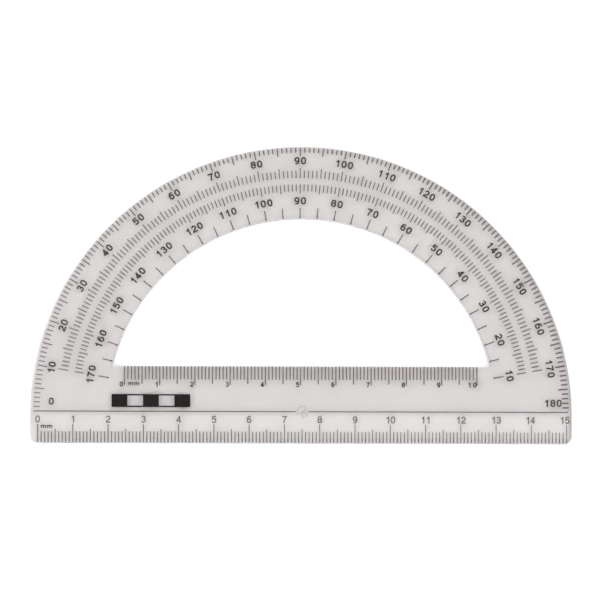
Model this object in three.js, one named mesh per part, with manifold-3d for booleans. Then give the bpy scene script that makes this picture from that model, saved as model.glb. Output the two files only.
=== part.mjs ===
// A clear plastic 180 degree protractor: a moulded D-shaped plate with a D-shaped window, and
// printed scales on its upper face. There are two sets of degrees, a 15 cm ruler along the base
// edge and a 10 cm ruler along the window. Millimetres, +Z up. The plate lies flat with its
// underside at z = 0. The origin is under the vertex of the angles, +X runs along the base line
// and +Y points at 90 degrees. Degrees are counted from the -X end, over the top, to the +X end.

import * as THREE from 'three';
import Module from 'manifold-3d';
import { mergeVertices } from 'three/addons/utils/BufferGeometryUtils.js';

const wasm = await Module();
wasm.setup();

// ---- Plate ----
const OUTER_RADIUS = 76.8;          // the round rim, and half the length of the base edge
const PLATE_SHIFT_X = 0.4;          // the print sits this far left of the middle of the plate
const RIM_CENTRE_Y = -1;            // the rim is struck from just below the base line
const BASE_EDGE_Y = -8.9;
const FOOT_RADIUS = 2.2;            // the two corners of the base edge
const THICKNESS = 2;
const EDGE_BREAK = 0.25;            // chamfer round every edge
const RIM_SEGMENTS = 96;
const CORNER_SEGMENTS = 6;

// ---- Sloped edge under the 15 cm ruler ----
const SLOPE_START_Y = -0.9;
const SLOPE_DROP = 0.8;             // how much thinner the plate is at the base edge

// ---- Window ----
const WINDOW_RADIUS = 54.9;
const WINDOW_CENTRE_Y = 0.25;       // its arc is struck from just above the vertex
const WINDOW_BASE_Y = 12.95;        // its straight edge
const WINDOW_CORNER = 0.6;
const WINDOW_SEGMENTS = 72;

// ---- Mark that the mould's gate leaves in the gap of the base line ----
const GATE_X = 0.8;
const GATE_RADIUS = 1.15;
const GATE_DEPTH = 0.12;
const GATE_SIDES = 32;

// ---- Print ----
const INK = 0.04;                   // thickness of the printed layer
const HAIRLINE = 0.08;              // joins the ticks of a scale along their root ends
const HAIRLINE_STEP = 3;            // degrees from point to point along a round hairline
const SLOPE_CLEARANCE = 0.002;      // keeps the print on the slope just off the plastic

// Each tick runs from root to tip, a radius, and every fifth degree it runs on to longTip. The
// radii of a ring grow by lean towards +X and shrink by it towards -X, and no root gets closer
// to the rim than RIM_MARGIN. The base line is itself the outer mark of 0 and 180 degrees.
const LONG_TICK_EVERY = 5;
const RIM_MARGIN = 0.3;
const OUTER_TICKS = {
  from: 1, to: 179, step: 1, width: 0.32, root: 75.9, tip: 74.1, longTip: 73.2, lean: 0.45,
};
const UPPER_RING = {
  from: 10, to: 170, step: 1, width: 0.26, root: 66.85, tip: 69, longTip: 69.7, lean: 0.17,
};
const LOWER_RING = {
  from: 10, to: 170, step: 1, width: 0.26, root: 65, tip: 63, longTip: 62.4, lean: 0.17,
};
const WINDOW_LINES = {
  from: 10, to: 170, step: 5, width: 0.28, root: 58.3, tip: 55.5, longTip: 55.5, lean: 0.4,
};

// Each tick runs from root to tip, a height y, with longer ones every 5 mm and every cm.
const BASE_RULER = {
  zero: -74.25, length: 150, width: 0.26, root: -8.6, tip: -5.7, fives: -5, tens: -3.65,
};
const WINDOW_RULER = {
  zero: -49.7, length: 100, width: 0.3, root: 12.68, tip: 9.1, fives: 7.8, tens: 7.5,
};

const BASE_LINE_WIDTH = 0.26;
const BASE_LINE_ENDS = { left: [-75.4, -1], right: [2.6, 76.2] };

// The mark is a bar scale of five cells, filled and open by turns.
const MARK = { left: -53.3, base: 1.2, cell: 4.46, height: 3.7, cells: 5, border: 0.4 };

// ---- Materials ----

function plasticMaterial() {
  return new THREE.MeshStandardMaterial({
    color: 0xdfdad9, roughness: 0.12, metalness: 0, transparent: true, opacity: 0.45,
  });
}

function inkMaterial() {
  return new THREE.MeshStandardMaterial({ color: 0x17161a, roughness: 0.55, metalness: 0 });
}

// ---- Solids ----

function toSolid(geometry) {
  const bare = geometry.clone();
  bare.deleteAttribute('normal');
  bare.deleteAttribute('uv');
  const merged = mergeVertices(bare);
  return new wasm.Manifold(new wasm.Mesh({
    numProp: 3,
    vertProperties: new Float32Array(merged.attributes.position.array),
    triVerts: new Uint32Array(merged.index.array),
  }));
}

function toGeometry(solid) {
  const mesh = solid.getMesh();
  const geometry = new THREE.BufferGeometry();
  geometry.setAttribute('position', new THREE.BufferAttribute(mesh.vertProperties, 3));
  geometry.setIndex(new THREE.BufferAttribute(mesh.triVerts, 1));
  geometry.computeVertexNormals();
  return geometry;
}

// ---- Outlines ----

function arc(centreX, centreY, radius, startAngle, endAngle, segments) {
  const points = [];
  for (let i = 0; i <= segments; i += 1) {
    const angle = startAngle + (endAngle - startAngle) * i / segments;
    points.push(new THREE.Vector2(
      centreX + radius * Math.cos(angle),
      centreY + radius * Math.sin(angle),
    ));
  }
  return points;
}

function rimOutline() {
  const footX = OUTER_RADIUS - FOOT_RADIUS;
  const footY = BASE_EDGE_Y + FOOT_RADIUS;
  return [
    ...arc(-footX, footY, FOOT_RADIUS, Math.PI, 1.5 * Math.PI, CORNER_SEGMENTS),
    ...arc(footX, footY, FOOT_RADIUS, -0.5 * Math.PI, 0, CORNER_SEGMENTS),
    ...arc(0, RIM_CENTRE_Y, OUTER_RADIUS, 0, Math.PI, RIM_SEGMENTS),
  ];
}

// The window's corner rounds touch its straight edge and the inside of its arc.
function windowOutline() {
  const cornerY = WINDOW_BASE_Y + WINDOW_CORNER;
  const rise = cornerY - WINDOW_CENTRE_Y;
  const cornerX = Math.sqrt((WINDOW_RADIUS - WINDOW_CORNER) ** 2 - rise ** 2);
  const touch = Math.atan2(rise, cornerX);
  const top = arc(0, WINDOW_CENTRE_Y, WINDOW_RADIUS, touch, Math.PI - touch, WINDOW_SEGMENTS);
  return [
    ...arc(cornerX, cornerY, WINDOW_CORNER, -0.5 * Math.PI, touch, CORNER_SEGMENTS),
    ...top.slice(1, -1),
    ...arc(-cornerX, cornerY, WINDOW_CORNER, Math.PI - touch, 1.5 * Math.PI, CORNER_SEGMENTS),
  ];
}

// ---- Plate ----

function slopeZ(y) {
  return THICKNESS - SLOPE_DROP * (SLOPE_START_Y - y) / (SLOPE_START_Y - BASE_EDGE_Y);
}

// What is cut away over the sloped edge, with the chamfer of its thin end.
function slopeCutter() {
  const beyond = 1;
  const breakY = BASE_EDGE_Y + EDGE_BREAK;
  const breakRun = EDGE_BREAK + beyond;
  const profile = new THREE.Shape([
    new THREE.Vector2(SLOPE_START_Y, THICKNESS + beyond),
    new THREE.Vector2(SLOPE_START_Y, THICKNESS),
    new THREE.Vector2(breakY, slopeZ(breakY)),
    new THREE.Vector2(breakY - breakRun, slopeZ(breakY) - breakRun),
    new THREE.Vector2(breakY - breakRun, THICKNESS + beyond),
  ]);
  const length = 2 * (OUTER_RADIUS + beyond);
  const geometry = new THREE.ExtrudeGeometry(profile, { depth: length, bevelEnabled: false });
  // the profile's x and y become the row's y and z, and its depth runs along x
  geometry.applyMatrix4(new THREE.Matrix4().makeBasis(
    new THREE.Vector3(0, 1, 0),
    new THREE.Vector3(0, 0, 1),
    new THREE.Vector3(1, 0, 0),
  ));
  geometry.translate(-length / 2, 0, 0);
  return toSolid(geometry);
}

function gateCutter() {
  const height = 1;
  const geometry = new THREE.CylinderGeometry(GATE_RADIUS, GATE_RADIUS, height, GATE_SIDES);
  geometry.rotateX(Math.PI / 2);
  geometry.translate(GATE_X, 0, THICKNESS - GATE_DEPTH + height / 2);
  return toSolid(geometry);
}

function plateGeometry() {
  const outline = new THREE.Shape(rimOutline());
  outline.holes.push(new THREE.Path(windowOutline()));
  const geometry = new THREE.ExtrudeGeometry(outline, {
    depth: THICKNESS - 2 * EDGE_BREAK,
    bevelThickness: EDGE_BREAK,
    bevelSize: EDGE_BREAK,
    bevelOffset: -EDGE_BREAK,
    bevelSegments: 1,
  });
  geometry.translate(PLATE_SHIFT_X, 0, EDGE_BREAK);
  const solid = toSolid(geometry).subtract(slopeCutter()).subtract(gateCutter());
  return toGeometry(solid);
}

// ---- Print ----

// A flat outline as a layer of ink on the level part of the upper face.
function inkLayer(outline) {
  const geometry = new THREE.ExtrudeGeometry(outline, { depth: INK, bevelEnabled: false });
  geometry.translate(0, 0, THICKNESS);
  return geometry;
}

// The same layer on the sloped edge.
function slopedInkLayer(outline) {
  const geometry = new THREE.ExtrudeGeometry(outline, { depth: INK, bevelEnabled: false });
  const position = geometry.attributes.position;
  for (let i = 0; i < position.count; i += 1) {
    position.setZ(i, position.getZ(i) + slopeZ(position.getY(i)) + SLOPE_CLEARANCE);
  }
  return geometry;
}

function outwardAt(degree) {
  const angle = THREE.MathUtils.degToRad(degree);
  return new THREE.Vector2(-Math.cos(angle), Math.sin(angle));
}

// How far the rim is from the vertex in a direction.
function rimReach(outward) {
  const centre = new THREE.Vector2(PLATE_SHIFT_X, RIM_CENTRE_Y);
  const across = centre.cross(outward);
  return centre.dot(outward) + Math.sqrt(OUTER_RADIUS ** 2 - across ** 2);
}

// The root radius at a degree, and how much every radius of the comb has shifted there.
function rootAt(degree, { root, lean }) {
  const outward = outwardAt(degree);
  const shift = lean * outward.x;
  return { shift, root: Math.min(root + shift, rimReach(outward) - RIM_MARGIN) };
}

function degreePoint(degree, radius, aside) {
  const outward = outwardAt(degree);
  const along = new THREE.Vector2(outward.y, -outward.x);
  return outward.multiplyScalar(radius).addScaledVector(along, aside);
}

function degreeComb(comb) {
  const { from, to, step, width, tip, longTip } = comb;
  const half = width / 2;
  const hairline = Math.sign(tip - comb.root) * HAIRLINE;
  const points = [degreePoint(from, rootAt(from, comb).root, -half)];
  for (let degree = from + HAIRLINE_STEP; degree < to; degree += HAIRLINE_STEP) {
    points.push(degreePoint(degree, rootAt(degree, comb).root, 0));
  }
  points.push(degreePoint(to, rootAt(to, comb).root, half));
  for (let degree = to; degree >= from; degree -= step) {
    const { root, shift } = rootAt(degree, comb);
    const inner = root + hairline;
    const end = (degree % LONG_TICK_EVERY === 0 ? longTip : tip) + shift;
    if (degree < to) points.push(degreePoint(degree, inner, half));
    points.push(degreePoint(degree, end, half), degreePoint(degree, end, -half));
    if (degree > from) points.push(degreePoint(degree, inner, -half));
  }
  return new THREE.Shape(points);
}

function rulerComb({ zero, length, width, root, tip, fives, tens }) {
  const half = width / 2;
  const inner = root + Math.sign(tip - root) * HAIRLINE;
  const last = zero + length;
  const points = [new THREE.Vector2(zero - half, root), new THREE.Vector2(last + half, root)];
  for (let mm = length; mm >= 0; mm -= 1) {
    const x = zero + mm;
    const end = mm % 10 === 0 ? tens : mm % 5 === 0 ? fives : tip;
    if (mm < length) points.push(new THREE.Vector2(x + half, inner));
    points.push(new THREE.Vector2(x + half, end), new THREE.Vector2(x - half, end));
    if (mm > 0) points.push(new THREE.Vector2(x - half, inner));
  }
  return new THREE.Shape(points);
}

function rectangle(left, right, bottom, top) {
  return [
    new THREE.Vector2(left, bottom),
    new THREE.Vector2(right, bottom),
    new THREE.Vector2(right, top),
    new THREE.Vector2(left, top),
  ];
}

function baseLine([start, end]) {
  return new THREE.Shape(rectangle(start, end, -BASE_LINE_WIDTH / 2, BASE_LINE_WIDTH / 2));
}

function barScaleMark() {
  const { left, base, cell, height, cells, border } = MARK;
  const bar = new THREE.Shape(rectangle(left, left + cells * cell, base, base + height));
  const through = 1;
  let solid = toSolid(inkLayer(bar));
  for (let i = 1; i < cells; i += 2) {
    const openCell = new THREE.BoxGeometry(cell, height - 2 * border, through);
    openCell.translate(left + (i + 0.5) * cell, base + height / 2, THICKNESS);
    solid = solid.subtract(toSolid(openCell));
  }
  return toGeometry(solid);
}

// ---- Assembly ----

const protractor = new THREE.Group();

function addPiece(name, geometry, material) {
  const mesh = new THREE.Mesh(geometry, material);
  mesh.name = name;
  protractor.add(mesh);
}

addPiece('plate', plateGeometry(), plasticMaterial());
addPiece('outer_degree_ticks', inkLayer(degreeComb(OUTER_TICKS)), inkMaterial());
addPiece('upper_ring_ticks', inkLayer(degreeComb(UPPER_RING)), inkMaterial());
addPiece('lower_ring_ticks', inkLayer(degreeComb(LOWER_RING)), inkMaterial());
addPiece('window_degree_lines', inkLayer(degreeComb(WINDOW_LINES)), inkMaterial());
addPiece('window_ruler_ticks', inkLayer(rulerComb(WINDOW_RULER)), inkMaterial());
addPiece('base_ruler_ticks', slopedInkLayer(rulerComb(BASE_RULER)), inkMaterial());
addPiece('base_line_left', inkLayer(baseLine(BASE_LINE_ENDS.left)), inkMaterial());
addPiece('base_line_right', inkLayer(baseLine(BASE_LINE_ENDS.right)), inkMaterial());
addPiece('bar_scale_mark', barScaleMark(), inkMaterial());

export default protractor;
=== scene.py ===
"""Fine model of a clear plastic 180 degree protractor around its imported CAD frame. Metres.

The plate lies flat on the floor with its print on the upper face. +X runs along the base line
and +Y points at 90 degrees. Degrees are counted clockwise from the -X end of the base line.
"""

import math

import bmesh
import bpy
from mathutils import Matrix, Vector
from mathutils.geometry import delaunay_2d_cdt


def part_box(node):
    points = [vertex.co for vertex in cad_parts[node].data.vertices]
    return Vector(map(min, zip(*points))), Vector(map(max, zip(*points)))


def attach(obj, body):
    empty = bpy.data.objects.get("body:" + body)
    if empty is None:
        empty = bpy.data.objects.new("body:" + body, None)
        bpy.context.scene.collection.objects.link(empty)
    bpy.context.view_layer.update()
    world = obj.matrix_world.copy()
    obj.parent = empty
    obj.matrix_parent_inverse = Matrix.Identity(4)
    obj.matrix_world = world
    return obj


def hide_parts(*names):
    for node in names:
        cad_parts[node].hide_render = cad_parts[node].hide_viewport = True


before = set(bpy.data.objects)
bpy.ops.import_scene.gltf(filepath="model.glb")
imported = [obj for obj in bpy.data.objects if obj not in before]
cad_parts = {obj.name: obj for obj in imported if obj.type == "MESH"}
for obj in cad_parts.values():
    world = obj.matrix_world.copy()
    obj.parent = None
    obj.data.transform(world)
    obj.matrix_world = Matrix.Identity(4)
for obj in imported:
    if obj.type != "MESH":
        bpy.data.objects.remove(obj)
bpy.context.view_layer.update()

MM = 0.001
BODY = "root"

# ---- Places read from the frame ----
plate_low, plate_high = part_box("plate")
RIM_RADIUS = (plate_high.x - plate_low.x) / 2
RIM_CENTRE = Vector(((plate_high.x + plate_low.x) / 2, plate_high.y - RIM_RADIUS))
BASE_EDGE_Y = plate_low.y
THICKNESS = plate_high.z

# ---- Plate ----
ARC_BAND = 20.65 * MM           # plastic between the window and the rim at 90 degrees
BASE_BAND = 21.85 * MM          # plastic between the window and the base edge
WINDOW_CENTRE = Vector((RIM_CENTRE.x, 0.25 * MM))
WINDOW_RADIUS = plate_high.y - ARC_BAND - WINDOW_CENTRE.y
WINDOW_BASE_Y = BASE_EDGE_Y + BASE_BAND
WINDOW_CORNER = 0.6 * MM
FOOT_RADIUS = 2.2 * MM
SLOPE_START_Y = -0.9 * MM
SLOPE_DROP = 0.8 * MM           # how much thinner the plate is at the base edge
SLOPE_BLEND = 0.3 * MM          # half the width of the soft crease where the slope begins
SLOPE_RINGS = (-1.25, -1, -0.6, -0.2, 0.2, 0.6, 1, 1.25)
RIM_SEGMENTS = 360
WINDOW_SEGMENTS = 240
CORNER_SEGMENTS = 10

# Each edge is rounded as a quarter of an ellipse: how far it reaches in, and how deep.
RIM_ROUND = (1.1 * MM, 0.5 * MM)
WINDOW_ROUND = (0.5 * MM, 0.35 * MM)
UNDER_ROUND = (0.2 * MM, 0.2 * MM)
ROUND_STEPS = 6
SUPPORT = 0.05 * MM             # a last flat ring that keeps the large faces flat in shading
SAME_PLACE = 1e-7               # metres between two points that count as one

# ---- Mark that the mould's gate leaves: (radius, height above the face) in millimetres ----
GATE_X = 0.8 * MM
GATE_PROFILE = (
    (1.32, 0.0), (1.26, 0.0), (1.20, -0.03), (1.12, -0.17), (1.05, -0.24), (0.80, -0.24),
    (0.70, -0.18), (0.60, -0.05), (0.50, -0.01), (0.24, -0.02), (0.08, -0.06),
)
GATE_SEGMENTS = 48

# ---- Print, in millimetres ----
INK = 0.03                      # height of the print above the plastic
INK_ROOT = 0.01                 # how far it bites into the plastic
TICK_CORNER = 0.06
TICK_STEPS = 8                  # stretches along a tick, so that it follows the plate's edges
TICK_GROWTH = 0.7               # how the ticks of a ring grow bolder from 0 to 180 degrees
LONG_TICK_EVERY = 5             # degrees
NUMBERED = range(10, 171, 10)   # degrees
HALF_TURN = 180
CENTIMETRE = 10
HALF_CENTIMETRE = 5

# Radial ticks: root and tip are radii. They grow by lean towards +X and shrink by it towards -X,
# and stay RIM_MARGIN away from the rim. The width falls to light_width at 0 degrees.
RIM_MARGIN = 0.3
OUTER_TICKS = dict(
    degrees=range(1, 180), root=75.9, tip=74.1, long_tip=73.2, lean=0.45,
    width=0.43, light_width=0.24,
)
UPPER_RING = dict(
    degrees=range(10, 171), root=66.85, tip=69.0, long_tip=69.7, lean=0.17,
    width=0.31, light_width=0.265,
)
LOWER_RING = dict(
    degrees=range(10, 171), root=65.0, tip=63.0, long_tip=62.4, lean=0.17,
    width=0.31, light_width=0.265,
)
WINDOW_LINES = dict(
    degrees=range(10, 171, 5), root=58.3, tip=55.35, long_tip=55.35, lean=0.4,
    width=0.33, light_width=0.29, foot=-0.6, foot_width=0.42,
)

# Rulers: root and tips are heights y, for a millimetre, a 5 mm and a centimetre tick.
BASE_RULER = dict(
    zero=-74.25, length=150, root=-8.7, tips=(-5.7, -5.0, -3.65), width=0.3, last_width=0.22,
    foot=1.2, foot_width=0.31,
)
WINDOW_RULER = dict(
    zero=-49.7, length=100, root=12.85, tips=(9.1, 7.8, 7.5), width=0.33, last_width=0.33,
    foot=0.0, foot_width=0.33,
)
BASE_LINE_WIDTH = 0.3
BASE_LINE_ENDS = ((-75.4, -1.0), (2.6, 76.2))

# Numerals: height, ink width, advance and stroke.
CLOSED = 1e-6                   # ends nearer than this make a stroke a loop
INSIDE_ONLY = 1                 # triangles are kept inside the strokes only
MERGE = 1e-4
BOLD = dict(height=2.08, width=1.48, advance=1.87, stroke=0.42)
UPRIGHT = dict(height=2.05, width=1.42, advance=1.8, stroke=0.38)
REGULAR = dict(height=1.98, width=1.3, advance=1.47, stroke=0.31)
SMALL = dict(height=1.48, width=1.0, advance=1.5, stroke=0.33)
UNIT = dict(height=0.85, width=1.5, advance=1.75, stroke=0.3)
OUTER_NUMBERS = dict(radius=71.8, lean=0.35)    # to the middle of the numerals
INNER_NUMBERS = dict(radius=60.3, lean=0.2)
BASE_NUMBER_Y = -2.25
BASE_NUMBER_SHIFTS = {14: -0.3, 15: -0.55}
WINDOW_NUMBER_Y = 7.72
WINDOW_NUMBER_SHIFT = -0.85     # the numbers stand left of their ticks, and 10 more so
WINDOW_LAST_SHIFT = -1.35
ZERO_PLACE = (-70.4, 2.8)
HALF_TURN_PLACE = (71.85, 2.6)
BASE_UNIT_PLACE = (-71.73, -4.35)
WINDOW_UNIT_PLACE = (-47.03, 7.85)

# The mark is a bar scale of five cells, filled and open by turns.
MARK = dict(left=-53.3, base=1.2, cell=4.46, height=3.7, cells=5, border=0.4)

# ---- Materials: noise is (scale, detail, roughness); a plastic colour has its place before it ----
PLASTIC_IOR = 1.59
PLASTIC_DARK = (0.3, (0.955, 0.930, 0.926))
PLASTIC_LIGHT = (0.7, (0.975, 0.952, 0.948))
PLASTIC_BODY = (45, 3)
PLASTIC_HAZE = (160, 5, 0.65)
PLASTIC_ROUGHNESS = (0.03, 0.12)
PLASTIC_WAVES = (70, 2)
PLASTIC_BUMP = (0.15, 0.2 * MM)

# Thin ink is a lighter grey than the filled cells, as a fine line of it looks.
SOLID_INK = ((0.0055, 0.0040, 0.0036), (0.0095, 0.0072, 0.0066))
NUMBER_INK = ((0.027, 0.022, 0.020), (0.044, 0.037, 0.034))
FINE_INK = ((0.090, 0.077, 0.071), (0.122, 0.106, 0.099))
INK_STOPS = (0.35, 0.75)
INK_BODY = (2500, 4, 0.6)
INK_ROUGHNESS = (0.38, 0.6)
INK_SPECULAR = 0.1
INK_GRAIN = (6000, 3)
INK_BUMP = (0.3, 0.01 * MM)

# Painted shade on the plate: darker towards the rim, most of all at its +X end, and a faint dark
# line round the window. The gate's torn plastic adds a few darker blotches.
UNSHADED = (1, 1, 1)
# the plastic's colour at full painted shade, and in the gate's darkest blotches
PAINTED_SHADE_AND_BLOTCH_TONE = (0.78, 0.77, 0.77)
# painted shade reaches this far in from the rim
PAINTED_RIM_SHADE_WIDTH = 1.6 * MM
# a faint painted shade line just outside the window's arc, and how dark it is
WINDOW_LINE = (0.1 * MM, 0.4 * MM, 0.9 * MM)    # outside the window's arc: start, middle, end
PAINTED_WINDOW_LINE_SHADE = 0.4
GATE_BLOTCHES = (1.8 * MM, 2.2 * MM)    # from the middle of the plastic under the gate: full, none
BLOTCH_NOISE = (1300, 1)
BLOTCH_EDGE = (0.44, 0.56)
BLOTCH_SHADE = 1.0

# ---- Studio ----
FLOOR_SIZE = 12.0
FLOOR_CELLS = 8
FLOOR_Z = -0.05 * MM
FLOOR_NOISE = (4, 2)
FLOOR_DARK = (0.90, 0.90, 0.90)
FLOOR_LIGHT = (0.93, 0.93, 0.93)
FLOOR_ROUGHNESS = 0.9
SKY_STRENGTH = 2.05
SKY_LOW = (0.30, 0.30, 0.31)
SKY_HIGH = (1.0, 1.0, 1.0)
SKY_FULL_AT = 0.6               # how high the tent is fully bright
SKY_SIDE = 0.25                 # how far the dark lower part leans over to the +X side
HATCH_TOWARDS = (-0.10, 0.24, 1.0)      # a dark opening high in the tent
HATCH_TONE = (0.16, 0.16, 0.17)
HATCH_EDGE = (0.925, 0.975)     # cosines of the angles where it ends and where it is full

# ---- Camera ----
LENS = 400.0
SENSOR = 36.0
VIEW_WIDTH = 170.45 * MM
VIEW_CENTRE = Vector((0.05 * MM, 31.88 * MM, THICKNESS))
VIEW_TILT = 6.5                 # degrees from straight above, towards the base edge
VIEW_ROLL = 0.17
CLIP_START, CLIP_END = 0.01, 20.0


# ================================================================ outlines

def arc(centre, radius, start, end, segments):
    """Points on a round stretch, angles in degrees."""
    points = []
    for i in range(segments + 1):
        angle = math.radians(start + (end - start) * i / segments)
        points.append(centre + Vector((math.cos(angle), math.sin(angle))) * radius)
    return points


def rim_outline(inset):
    foot_x = RIM_RADIUS - FOOT_RADIUS
    foot_y = BASE_EDGE_Y + FOOT_RADIUS
    foot = FOOT_RADIUS - inset
    left, right = RIM_CENTRE.x - foot_x, RIM_CENTRE.x + foot_x
    return (
        arc(Vector((left, foot_y)), foot, 180, 270, CORNER_SEGMENTS)
        + arc(Vector((right, foot_y)), foot, -90, 0, CORNER_SEGMENTS)
        + arc(RIM_CENTRE, RIM_RADIUS - inset, 0, 180, RIM_SEGMENTS)
    )


def window_outline(outset):
    """The window's outline, grown by outset. Its corner rounds keep their centres."""
    rise = WINDOW_BASE_Y + WINDOW_CORNER - WINDOW_CENTRE.y
    run = math.sqrt((WINDOW_RADIUS - WINDOW_CORNER) ** 2 - rise ** 2)
    left, right = WINDOW_CENTRE + Vector((-run, rise)), WINDOW_CENTRE + Vector((run, rise))
    touch = math.degrees(math.atan2(rise, run))
    corner = WINDOW_CORNER + outset
    top = arc(WINDOW_CENTRE, WINDOW_RADIUS + outset, touch, 180 - touch, WINDOW_SEGMENTS)
    return (
        arc(right, corner, -90, touch, CORNER_SEGMENTS)
        + top[1:-1]
        + arc(left, corner, 180 - touch, 270, CORNER_SEGMENTS)
    )


# ================================================================ heights of the upper face

def level_at(y):
    """The plate's thickness: even, then thinner towards the base edge, with a soft crease."""
    slope = SLOPE_DROP / (SLOPE_START_Y - BASE_EDGE_Y)
    past = SLOPE_START_Y + SLOPE_BLEND - y
    if past <= 0:
        return THICKNESS
    if past < 2 * SLOPE_BLEND:
        return THICKNESS - slope * past ** 2 / (4 * SLOPE_BLEND)
    return THICKNESS - slope * (past - SLOPE_BLEND)


def round_depth(distance, reach, depth):
    """How far a rounded edge has dropped at that distance from the edge."""
    if distance >= reach:
        return 0.0
    along = 1 - max(distance, 0.0) / reach
    return depth * (1 - math.sqrt(1 - along ** 2))


def surface_at(p):
    """Height of the upper face, its rounded edges included."""
    rim = RIM_RADIUS - (p - RIM_CENTRE).length
    edge = min(rim, p.y - BASE_EDGE_Y)
    window = (p - WINDOW_CENTRE).length - WINDOW_RADIUS
    if p.y < WINDOW_BASE_Y:
        window = WINDOW_BASE_Y - p.y
    drop = round_depth(edge, *RIM_ROUND) + round_depth(window, *WINDOW_ROUND)
    return (THICKNESS - drop) * level_at(p.y) / THICKNESS


# ================================================================ meshes

def finish_mesh(bm, name, smooth):
    bmesh.ops.recalc_face_normals(bm, faces=bm.faces)
    mesh = bpy.data.meshes.new(name)
    bm.to_mesh(mesh)
    bm.free()
    mesh.polygons.foreach_set("use_smooth", [smooth] * len(mesh.polygons))
    piece = bpy.data.objects.new(name, mesh)
    bpy.context.scene.collection.objects.link(piece)
    return piece


# ================================================================ plate

def quarter_round(reach, depth):
    """A rounded edge from the face to the wall, as (distance from the edge, depth)."""
    steps = []
    for i in range(ROUND_STEPS + 1):
        angle = math.pi / 2 * i / ROUND_STEPS
        steps.append((reach * (1 - math.sin(angle)), depth * (1 - math.cos(angle))))
    return steps


def edge_profile(upper_round):
    """An edge from the underside up to the printed face, as (distance from it, height)."""
    profile = [(UNDER_ROUND[0] + SUPPORT, 0.0)]
    profile += quarter_round(*UNDER_ROUND)
    profile += [(inset, THICKNESS - depth) for inset, depth in reversed(quarter_round(*upper_round))]
    profile.append((upper_round[0] + SUPPORT, THICKNESS))
    return profile


def skin_rings(bm, rings):
    for lower, upper in zip(rings, rings[1:]):
        for i in range(len(lower)):
            bm.faces.new((lower[i - 1], lower[i], upper[i], upper[i - 1]))


def add_edge(bm, outline_at, profile):
    """Skins an edge and returns its lowest and highest ring."""
    rings = []
    for distance, height in profile:
        rings.append([bm.verts.new((p.x, p.y, height)) for p in outline_at(distance)])
    skin_rings(bm, rings)
    return rings[0], rings[-1]


def add_gate_mark(bm):
    """The round scar in the printed face. Returns its outermost ring."""
    rings = []
    for radius, height in GATE_PROFILE:
        circle = arc(Vector((GATE_X, 0)), radius * MM, 0, 360, GATE_SEGMENTS)[:-1]
        rings.append([bm.verts.new((p.x, p.y, THICKNESS + height * MM)) for p in circle])
    skin_rings(bm, rings)
    bm.faces.new(rings[-1])
    return rings[0]


def fill_between(bm, rings):
    edges = []
    for ring in rings:
        edges += [bm.edges.get((ring[i - 1], ring[i])) for i in range(len(ring))]
    bmesh.ops.triangle_fill(bm, edges=edges, use_beauty=True, use_dissolve=False)


def build_plate():
    bm = bmesh.new()
    rim_under, rim_top = add_edge(bm, rim_outline, edge_profile(RIM_ROUND))
    window_under, window_top = add_edge(bm, window_outline, edge_profile(WINDOW_ROUND))
    fill_between(bm, (rim_under, window_under))
    fill_between(bm, (rim_top, window_top, add_gate_mark(bm)))
    for ring in SLOPE_RINGS:
        bmesh.ops.bisect_plane(
            bm, geom=bm.verts[:] + bm.edges[:] + bm.faces[:], dist=SAME_PLACE,
            plane_co=(0, SLOPE_START_Y + ring * SLOPE_BLEND, 0), plane_no=(0, 1, 0),
        )
    for vert in bm.verts:
        vert.co.z *= level_at(vert.co.y) / THICKNESS
    return finish_mesh(bm, "clear_plate", smooth=True)


# ================================================================ layers of ink

def add_ink(bm, points, faces, border):
    """A closed layer of ink on the plastic: faces above and below, and walls round the border."""
    top, bottom = [], []
    for p in points:
        height = surface_at(p * MM)
        top.append(bm.verts.new((p.x * MM, p.y * MM, height + INK * MM)))
        bottom.append(bm.verts.new((p.x * MM, p.y * MM, height - INK_ROOT * MM)))
    for face in faces:
        bm.faces.new([top[i] for i in face])
        bm.faces.new([bottom[i] for i in reversed(face)])
    for a, b in border:
        bm.faces.new((top[a], bottom[a], bottom[b], top[b]))


def add_strip(bm, sections, place):
    """A straight stroke of ink through sections of (distance along it, half its width)."""
    count = len(sections)
    left = [place(Vector((-half, along))) for along, half in sections]
    right = [place(Vector((half, along))) for along, half in sections]
    faces = [(i, i + 1, count + i + 1, count + i) for i in range(count - 1)]
    border = [(i, i + 1) for i in range(count - 1)]
    border += [(count + i + 1, count + i) for i in range(count - 1)]
    border += [(count - 1, 2 * count - 1), (count, 0)]
    add_ink(bm, left + right, faces, border)


def tick_sections(root, tip, width, foot=0.0, foot_width=0.0):
    """A tick with soft corners. It may stand on a broader foot, at whichever end foot names."""
    towards = math.copysign(1.0, tip - root)
    length = abs(tip - root)
    half = width / 2
    stops = [0.0, TICK_CORNER, length - TICK_CORNER, length]
    stops += [length * i / TICK_STEPS for i in range(1, TICK_STEPS)]
    if foot:
        start = foot if foot > 0 else length + foot
        stops += [start, start + TICK_CORNER]
    sections = []
    for stop in sorted(set(stops)):
        in_foot = foot > 0 and stop <= foot or foot < 0 and stop > length + foot
        size = max(half, foot_width / 2) if in_foot else half
        if stop in (0.0, length):
            size -= TICK_CORNER
        sections.append((root + towards * stop, size))
    return sections


def at_degree(degree):
    """Takes (clockwise, outward) to its place at that degree."""
    turn = Matrix.Rotation(math.radians(90 - degree), 2)
    return lambda p: turn @ p


def at_place(x, y=0.0):
    return lambda p: p + Vector((x, y))


def rim_reach(outward):
    """How far the rim is from the vertex in a direction, in millimetres."""
    across = RIM_CENTRE.cross(outward)
    return (RIM_CENTRE.dot(outward) + math.sqrt(RIM_RADIUS ** 2 - across ** 2)) / MM


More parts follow.
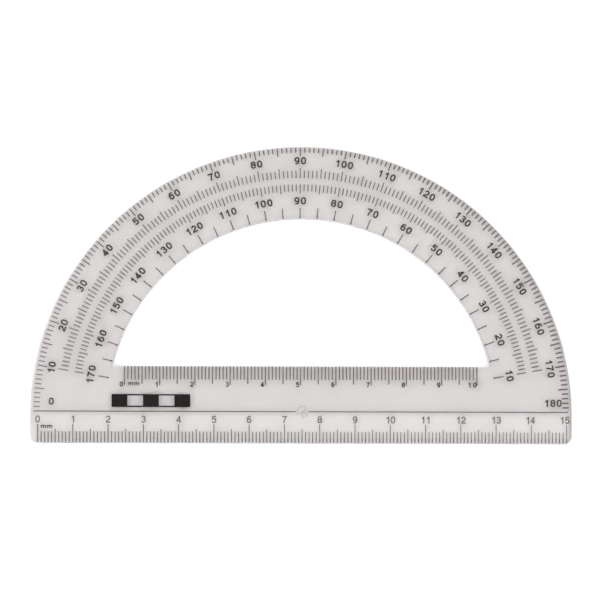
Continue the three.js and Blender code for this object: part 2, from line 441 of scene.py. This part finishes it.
def build_degree_ticks(name, degrees, root, tip, long_tip, lean, width, light_width, **foot):
    bm = bmesh.new()
    for degree in degrees:
        place = at_degree(degree)
        outward = place(Vector((0, 1)))
        start = min(root + lean * outward.x, rim_reach(outward) - RIM_MARGIN)
        end = (long_tip if degree % LONG_TICK_EVERY == 0 else tip) + lean * outward.x
        size = light_width + (width - light_width) * (degree / HALF_TURN) ** TICK_GROWTH
        add_strip(bm, tick_sections(start, end, size, **foot), place)
    return finish_mesh(bm, name, smooth=False)


def build_ruler_ticks(name, zero, length, root, tips, width, last_width, foot, foot_width):
    bm = bmesh.new()
    for mark in range(length + 1):
        end = tips[0]
        if mark % CENTIMETRE == 0:
            end = tips[2]
        elif mark % HALF_CENTIMETRE == 0:
            end = tips[1]
        size = width + (last_width - width) * mark / length
        add_strip(bm, tick_sections(root, end, size, foot, foot_width), at_place(zero + mark))
    return finish_mesh(bm, name, smooth=False)


def build_base_line():
    bm = bmesh.new()
    for start, end in BASE_LINE_ENDS:
        sections = tick_sections(start, end, BASE_LINE_WIDTH)
        add_strip(bm, sections, lambda p: Vector((p.y, -p.x)))
    return finish_mesh(bm, "base_line", smooth=False)


def build_mark(left, base, cell, height, cells, border):
    """A bar scale: one layer of ink with open cells, as a grid of small faces."""
    bm = bmesh.new()
    xs = [left]
    for i in range(cells):
        if i % 2:
            xs += [left + i * cell, left + (i + 1) * cell]
    xs.append(left + cells * cell)
    ys = [base, base + border, base + height - border, base + height]
    points = [Vector((x, y)) for y in ys for x in xs]
    wide = len(xs)
    faces = []
    for row in range(3):
        for column in range(wide - 1):
            if row == 1 and column % 2 == 1:
                continue
            corner = row * wide + column
            faces.append((corner, corner + 1, corner + 1 + wide, corner + wide))
    add_ink(bm, points, faces, border_of(faces))
    return finish_mesh(bm, "bar_scale", smooth=False)


def border_of(faces):
    """The edges that only one face uses, in that face's direction."""
    edges = set()
    for face in faces:
        for a, b in zip(face, face[1:] + face[:1]):
            if (b, a) in edges:
                edges.remove((b, a))
            else:
                edges.add((a, b))
    return sorted(edges)


# ================================================================ numerals
# A glyph is a few strokes of an even width. Its middle lines are drawn in a box that is 1 wide
# and 1 tall, and a stroke ends square and full at the box's sides where it is marked full.

def bow(x, y, across, up, start, end, power=2.0, segments=16):
    """A stretch of an ellipse, or of a squarer oval where power is over 2."""
    points = []
    for i in range(segments + 1):
        angle = math.radians(start + (end - start) * i / segments)
        c, s = math.cos(angle), math.sin(angle)
        points.append((
            x + across * math.copysign(abs(c) ** (2 / power), c),
            y + up * math.copysign(abs(s) ** (2 / power), s),
        ))
    return points


def bend(start, pull_a, pull_b, end, segments=10):
    """A cubic curve."""
    points = []
    for i in range(segments + 1):
        t = i / segments
        weights = ((1 - t) ** 3, 3 * t * (1 - t) ** 2, 3 * t * t * (1 - t), t ** 3)
        corners = (start, pull_a, pull_b, end)
        points.append(tuple(sum(w * c[k] for w, c in zip(weights, corners)) for k in (0, 1)))
    return points


def turned(strokes):
    """The same glyph upside down."""
    return [([(1 - x, 1 - y) for x, y in path], full) for path, full in strokes]


SIX = [
    (bow(0.5, 0.31, 0.5, 0.31, 0, 360, 2.2, 28), False),
    (bow(0.54, 0.46, 0.54, 0.54, 196, 52, 2.2, 14), False),
]

GLYPHS = {
    "0": [(bow(0.5, 0.5, 0.5, 0.5, 0, 360, 2.5, 32), False)],
    "1": [
        ([(0.72, 0), (0.72, 1)], True),
        (bow(0.12, 1.04, 0.56, 0.28, -8, -90, 2.0, 8), False),
    ],
    "2": [
        (bow(0.5, 0.7, 0.47, 0.3, 172, -32, 2.0, 16)
         + bend((0.9, 0.54), (0.62, 0.3), (0.12, 0.3), (0.02, 0.03))[1:], False),
        ([(0, 0), (1, 0)], True),
    ],
    "3": [
        (bow(0.5, 0.765, 0.44, 0.235, 166, -82, 2.2, 16), False),
        (bow(0.5, 0.27, 0.5, 0.27, 82, -166, 2.2, 16), False),
        ([(0.36, 0.535), (0.56, 0.535)], False),
    ],
    "4": [
        ([(0.74, 0), (0.74, 1)], True),
        ([(0.74, 1), (0.0, 0.25)], False),
        ([(0, 0.24), (1, 0.24)], True),
    ],
    "5": [
        ([(0.16, 1), (0.92, 1)], True),
        ([(0.16, 1), (0.06, 0.46)], False),
        (bow(0.5, 0.325, 0.5, 0.325, 150, -160, 2.2, 20), False),
    ],
    "6": SIX,
    "7": [
        ([(0, 1), (1, 1)], True),
        (bend((1, 1), (0.66, 0.72), (0.4, 0.36), (0.34, -0.12)), False),
    ],
    "8": [
        (bow(0.5, 0.765, 0.44, 0.235, 0, 360, 2.2, 28), False),
        (bow(0.5, 0.27, 0.5, 0.27, 0, 360, 2.2, 28), False),
    ],
    "9": turned(SIX),
    "m": [
        ([(0, 0), (0, 1)], True),
        ([(0.5, 0), (0.5, 0.7)], True),
        ([(1, 0), (1, 0.7)], True),
        (bow(0.25, 0.6, 0.25, 0.4, 180, 0, 2.4, 10), False),
        (bow(0.75, 0.6, 0.25, 0.4, 180, 0, 2.4, 10), False),
    ],
}


def stroke_quads(path, half, full):
    """A path widened to an even stroke, as counterclockwise quads."""
    points = [Vector(p) for p in path]
    closed = (points[0] - points[-1]).length < CLOSED
    if full:
        points[0] = points[0] + (points[0] - points[1]).normalized() * half
        points[-1] = points[-1] + (points[-1] - points[-2]).normalized() * half
    left, right = [], []
    for i, point in enumerate(points):
        before = points[i - 1] if i > 0 else points[-2] if closed else point
        after = points[i + 1] if i + 1 < len(points) else points[1] if closed else point
        aside = (after - before).normalized().orthogonal() * half
        left.append(point + aside)
        right.append(point - aside)
    quads = []
    for i in range(len(points) - 1):
        quads.append((right[i], right[i + 1], left[i + 1], left[i]))
    return quads


def glyph_shape(glyph, height, width, stroke):
    """The glyph as one flat region of triangles: its points, faces and border."""
    corners, quads = [], []
    for path, full in GLYPHS[glyph]:
        drawn = []
        for x, y in path:
            drawn.append((
                stroke / 2 + x * (width - stroke) - width / 2,
                stroke / 2 + y * (height - stroke) - height / 2,
            ))
        for quad in stroke_quads(drawn, stroke / 2, full):
            quads.append(list(range(len(corners), len(corners) + 4)))
            corners += quad
    points, _, faces, _, _, sources = delaunay_2d_cdt(corners, [], quads, INSIDE_ONLY, MERGE)
    inside = [tuple(face) for face, source in zip(faces, sources) if source]
    used = sorted({i for face in inside for i in face})
    index = {old: new for new, old in enumerate(used)}
    faces = [tuple(index[i] for i in face) for face in inside]
    return [Vector(points[i]) for i in used], faces, border_of(faces)


def write(bm, text, place, height, width, advance, stroke):
    """Sets a text centred on its place."""
    for i, glyph in enumerate(text):
        shift = Vector(((i - (len(text) - 1) / 2) * advance, 0))
        points, faces, border = glyph_shape(glyph, height, width, stroke)
        add_ink(bm, [place(p + shift) for p in points], faces, border)


def build_ring_numbers(name, number_at, radius, lean):
    bm = bmesh.new()
    for degree in NUMBERED:
        turn = at_degree(degree)
        middle = Vector((0, radius + lean * turn(Vector((0, 1))).x))
        write(bm, str(number_at(degree)), lambda p: turn(p + middle), **BOLD)
    return finish_mesh(bm, name, smooth=False)


def build_upright_texts(name, texts):
    """texts are (text, place, style)."""
    bm = bmesh.new()
    for text, place, style in texts:
        write(bm, text, at_place(*place), **style)
    return finish_mesh(bm, name, smooth=False)


def base_ruler_texts():
    texts = []
    for number in range(BASE_RULER["length"] // CENTIMETRE + 1):
        x = BASE_RULER["zero"] + CENTIMETRE * number + BASE_NUMBER_SHIFTS.get(number, 0)
        texts.append((str(number), (x, BASE_NUMBER_Y), REGULAR))
    return texts


def window_ruler_texts():
    texts = []
    last = WINDOW_RULER["length"] // CENTIMETRE
    for number in range(last + 1):
        shift = WINDOW_LAST_SHIFT if number == last else WINDOW_NUMBER_SHIFT
        place = (WINDOW_RULER["zero"] + CENTIMETRE * number + shift, WINDOW_NUMBER_Y)
        texts.append((str(number), place, SMALL))
    return texts


# ================================================================ materials

def new_material(name):
    material = bpy.data.materials.new(name)
    material.use_nodes = True
    nodes = material.node_tree.nodes
    return material, nodes, material.node_tree.links, nodes["Principled BSDF"]


def noise(nodes, links, scale, detail, roughness=0.5):
    place = nodes.new("ShaderNodeTexCoord")
    texture = nodes.new("ShaderNodeTexNoise")
    texture.inputs["Scale"].default_value = scale
    texture.inputs["Detail"].default_value = detail
    texture.inputs["Roughness"].default_value = roughness
    links.new(place.outputs["Object"], texture.inputs["Vector"])
    return texture.outputs["Fac"]


def ramp(nodes, links, factor, low, high):
    """Colours from low to high. Each is (position, colour)."""
    blend = nodes.new("ShaderNodeValToRGB")
    for stop, (position, colour) in zip(blend.color_ramp.elements, (low, high)):
        stop.position = position
        stop.color = (*colour, 1)
    links.new(factor, blend.inputs["Fac"])
    return blend.outputs["Color"]


def scaled(nodes, links, value, low, high):
    """A 0 to 1 value as one from low to high."""
    spread = nodes.new("ShaderNodeMapRange")
    spread.inputs["To Min"].default_value = low
    spread.inputs["To Max"].default_value = high
    links.new(value, spread.inputs["Value"])
    return spread.outputs["Result"]


def bumped(nodes, links, shader, height, strength, distance):
    bump = nodes.new("ShaderNodeBump")
    bump.inputs["Strength"].default_value = strength
    bump.inputs["Distance"].default_value = distance
    links.new(height, bump.inputs["Height"])
    links.new(bump.outputs["Normal"], shader.inputs["Normal"])


def maths(nodes, links, operation, a, b):
    """One step of arithmetic. b may be a number."""
    step = nodes.new("ShaderNodeMath")
    step.operation = operation
    links.new(a, step.inputs[0])
    if isinstance(b, (int, float)):
        step.inputs[1].default_value = b
    else:
        links.new(b, step.inputs[1])
    return step.outputs["Value"]


def rising(nodes, links, value, start, end, low=0.0, high=1.0):
    """Goes smoothly from low to high while the value goes from start to end."""
    spread = nodes.new("ShaderNodeMapRange")
    spread.interpolation_type = "SMOOTHSTEP"
    settings = {"From Min": start, "From Max": end, "To Min": low, "To Max": high}
    for socket, setting in settings.items():
        spread.inputs[socket].default_value = setting
    links.new(value, spread.inputs["Value"])
    return spread.outputs["Result"]


def distance_to(nodes, links, place, centre):
    reach = nodes.new("ShaderNodeVectorMath")
    reach.operation = "DISTANCE"
    reach.inputs[1].default_value = (*centre, THICKNESS / 2)
    links.new(place, reach.inputs[0])
    return reach.outputs["Value"]


def gate_shade(nodes, links, place):
    """The torn plastic at the gate, as a few faint blotches."""
    reach = distance_to(nodes, links, place, (GATE_X, 0))
    near = rising(nodes, links, reach, *GATE_BLOTCHES, BLOTCH_SHADE, 0.0)
    spots = rising(nodes, links, noise(nodes, links, *BLOTCH_NOISE), *BLOTCH_EDGE)
    return maths(nodes, links, "MULTIPLY", near, spots)


def edge_shade(nodes, links):
    """Painted shade as a 0 to 1 mask: 0 on the open face, rising to 1 at the rim's +X end, and a
    faint dark line round the window. The gate's blotches are joined in by their maximum.
    """
    place = nodes.new("ShaderNodeTexCoord").outputs["Object"]
    # painted shade: rising towards the rim, and from nothing at the -X end to full at the +X end
    radius = distance_to(nodes, links, place, RIM_CENTRE)
    rim = rising(nodes, links, radius, RIM_RADIUS - PAINTED_RIM_SHADE_WIDTH, RIM_RADIUS)
    split = nodes.new("ShaderNodeSeparateXYZ")
    links.new(place, split.inputs["Vector"])
    side = rising(nodes, links, split.outputs["X"], -RIM_RADIUS, RIM_RADIUS)
    rim = maths(nodes, links, "MULTIPLY", rim, side)
    # a faint painted shade line just outside the window's arc, only above the window's base
    radius = distance_to(nodes, links, place, WINDOW_CENTRE)
    start, middle, end = (WINDOW_RADIUS + step for step in WINDOW_LINE)
    line = rising(nodes, links, radius, start, middle, 0.0, PAINTED_WINDOW_LINE_SHADE)
    fade = rising(nodes, links, radius, middle, end, 1.0, 0.0)
    line = maths(nodes, links, "MULTIPLY", line, fade)
    above = maths(nodes, links, "GREATER_THAN", split.outputs["Y"], WINDOW_BASE_Y)
    line = maths(nodes, links, "MULTIPLY", line, above)
    shade = maths(nodes, links, "MAXIMUM", rim, line)
    return maths(nodes, links, "MAXIMUM", shade, gate_shade(nodes, links, place))


def clear_plastic():
    """Clear polystyrene with a faint warm grey body, slightly uneven and lightly handled."""
    material, nodes, links, shader = new_material("clear_plastic")
    shader.inputs["Transmission Weight"].default_value = 1.0
    shader.inputs["IOR"].default_value = PLASTIC_IOR
    body = noise(nodes, links, *PLASTIC_BODY)
    colour = ramp(nodes, links, body, PLASTIC_DARK, PLASTIC_LIGHT)
    # painted shade towards the rim and round the window, together with the gate's blotches, darkens
    # the plastic's colour
    tone = ramp(nodes, links, edge_shade(nodes, links), (0, UNSHADED), (1, PAINTED_SHADE_AND_BLOTCH_TONE))
    tint = nodes.new("ShaderNodeVectorMath")
    tint.operation = "MULTIPLY"
    links.new(colour, tint.inputs[0])
    links.new(tone, tint.inputs[1])
    links.new(tint.outputs["Vector"], shader.inputs["Base Color"])
    haze = noise(nodes, links, *PLASTIC_HAZE)
    links.new(scaled(nodes, links, haze, *PLASTIC_ROUGHNESS), shader.inputs["Roughness"])
    bumped(nodes, links, shader, noise(nodes, links, *PLASTIC_WAVES), *PLASTIC_BUMP)
    return material


def black_ink(name, dark, light):
    """Screen printed ink: near black, satin, a little uneven in body and edge."""
    material, nodes, links, shader = new_material(name)
    body = noise(nodes, links, *INK_BODY)
    colour = ramp(nodes, links, body, (INK_STOPS[0], dark), (INK_STOPS[1], light))
    links.new(colour, shader.inputs["Base Color"])
    links.new(scaled(nodes, links, body, *INK_ROUGHNESS), shader.inputs["Roughness"])
    shader.inputs["Specular IOR Level"].default_value = INK_SPECULAR
    bumped(nodes, links, shader, noise(nodes, links, *INK_GRAIN), *INK_BUMP)
    return material


def floor_paper():
    material, nodes, links, shader = new_material("floor_white")
    tone = noise(nodes, links, *FLOOR_NOISE)
    colour = ramp(nodes, links, tone, (0, FLOOR_DARK), (1, FLOOR_LIGHT))
    links.new(colour, shader.inputs["Base Color"])
    shader.inputs["Roughness"].default_value = FLOOR_ROUGHNESS
    return material


# ================================================================ studio

def build_floor():
    bm = bmesh.new()
    bmesh.ops.create_grid(bm, x_segments=FLOOR_CELLS, y_segments=FLOOR_CELLS, size=FLOOR_SIZE / 2)
    floor = finish_mesh(bm, "floor", smooth=False)
    floor.location.z = FLOOR_Z
    floor.data.materials.append(floor_paper())


def build_sky():
    """A soft white tent: darker low down, most of all at +X, with a dark opening high up."""
    world = bpy.data.worlds.new("studio")
    bpy.context.scene.world = world
    world.use_nodes = True
    nodes, links = world.node_tree.nodes, world.node_tree.links
    direction = nodes.new("ShaderNodeTexCoord").outputs["Generated"]
    split = nodes.new("ShaderNodeSeparateXYZ")
    links.new(direction, split.inputs["Vector"])
    lean = maths(nodes, links, "MULTIPLY_ADD", split.outputs["X"], -SKY_SIDE)
    links.new(split.outputs["Z"], lean.node.inputs[2])
    tent = ramp(nodes, links, lean, (0.0, SKY_LOW), (SKY_FULL_AT, SKY_HIGH))
    near = nodes.new("ShaderNodeVectorMath")
    near.operation = "DOT_PRODUCT"
    near.inputs[1].default_value = Vector(HATCH_TOWARDS).normalized()
    links.new(direction, near.inputs[0])
    hatch = rising(nodes, links, near.outputs["Value"], *HATCH_EDGE)
    tone = ramp(nodes, links, hatch, (0, UNSHADED), (1, HATCH_TONE))
    colour = nodes.new("ShaderNodeVectorMath")
    colour.operation = "MULTIPLY"
    links.new(tent, colour.inputs[0])
    links.new(tone, colour.inputs[1])
    links.new(colour.outputs["Vector"], nodes["Background"].inputs["Color"])
    nodes["Background"].inputs["Strength"].default_value = SKY_STRENGTH


def build_camera():
    lens = bpy.data.cameras.new("camera")
    lens.lens = LENS
    lens.sensor_width = SENSOR
    lens.clip_start, lens.clip_end = CLIP_START, CLIP_END
    camera = bpy.data.objects.new("camera", lens)
    tilt = Matrix.Rotation(math.radians(VIEW_TILT), 4, "X")
    roll = Matrix.Rotation(math.radians(VIEW_ROLL), 4, "Z")
    away = Matrix.Translation((0, 0, VIEW_WIDTH / SENSOR * LENS))
    camera.matrix_world = Matrix.Translation(VIEW_CENTRE) @ tilt @ away @ roll
    bpy.context.scene.collection.objects.link(camera)
    bpy.context.scene.camera = camera


# ================================================================ assembly

def add_piece(piece, material, slot, *replaced):
    piece.data.materials.append(material)
    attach(piece, BODY)
    if replaced:
        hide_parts(*replaced)


def build_protractor():
    solid_ink = black_ink("solid_black_print", *SOLID_INK)
    number_ink = black_ink("number_black_print", *NUMBER_INK)
    fine_ink = black_ink("fine_black_print", *FINE_INK)
    add_piece(build_plate(), clear_plastic(), "clear_plastic", "plate")
    ticks = (
        ("outer_degree_ticks", build_degree_ticks("outer_ticks", **OUTER_TICKS)),
        ("upper_ring_ticks", build_degree_ticks("upper_ticks", **UPPER_RING)),
        ("lower_ring_ticks", build_degree_ticks("lower_ticks", **LOWER_RING)),
        ("window_degree_lines", build_degree_ticks("window_lines", **WINDOW_LINES)),
        ("window_ruler_ticks", build_ruler_ticks("window_ruler", **WINDOW_RULER)),
        ("base_ruler_ticks", build_ruler_ticks("base_ruler", **BASE_RULER)),
    )
    for node, piece in ticks:
        add_piece(piece, fine_ink, "black_print", node)
    add_piece(build_base_line(), fine_ink, "black_print", "base_line_left", "base_line_right")
    add_piece(build_mark(**MARK), solid_ink, "black_print", "bar_scale_mark")
    numbers = (
        build_ring_numbers("outer_numbers", lambda degree: degree, **OUTER_NUMBERS),
        build_ring_numbers("inner_numbers", lambda degree: HALF_TURN - degree, **INNER_NUMBERS),
        build_upright_texts("base_line_numbers", (
            ("0", ZERO_PLACE, UPRIGHT), ("180", HALF_TURN_PLACE, UPRIGHT),
        )),
        build_upright_texts("window_ruler_numbers", window_ruler_texts()),
        build_upright_texts("unit_labels", (
            ("mm", BASE_UNIT_PLACE, UNIT), ("mm", WINDOW_UNIT_PLACE, UNIT),
        )),
    )
    for piece in numbers:
        add_piece(piece, number_ink, "black_print")
    base_numbers = build_upright_texts("base_ruler_numbers", base_ruler_texts())
    add_piece(base_numbers, fine_ink, "black_print")


build_protractor()
build_floor()
build_sky()
build_camera()
bpy.context.scene.view_settings.view_transform = "Standard"
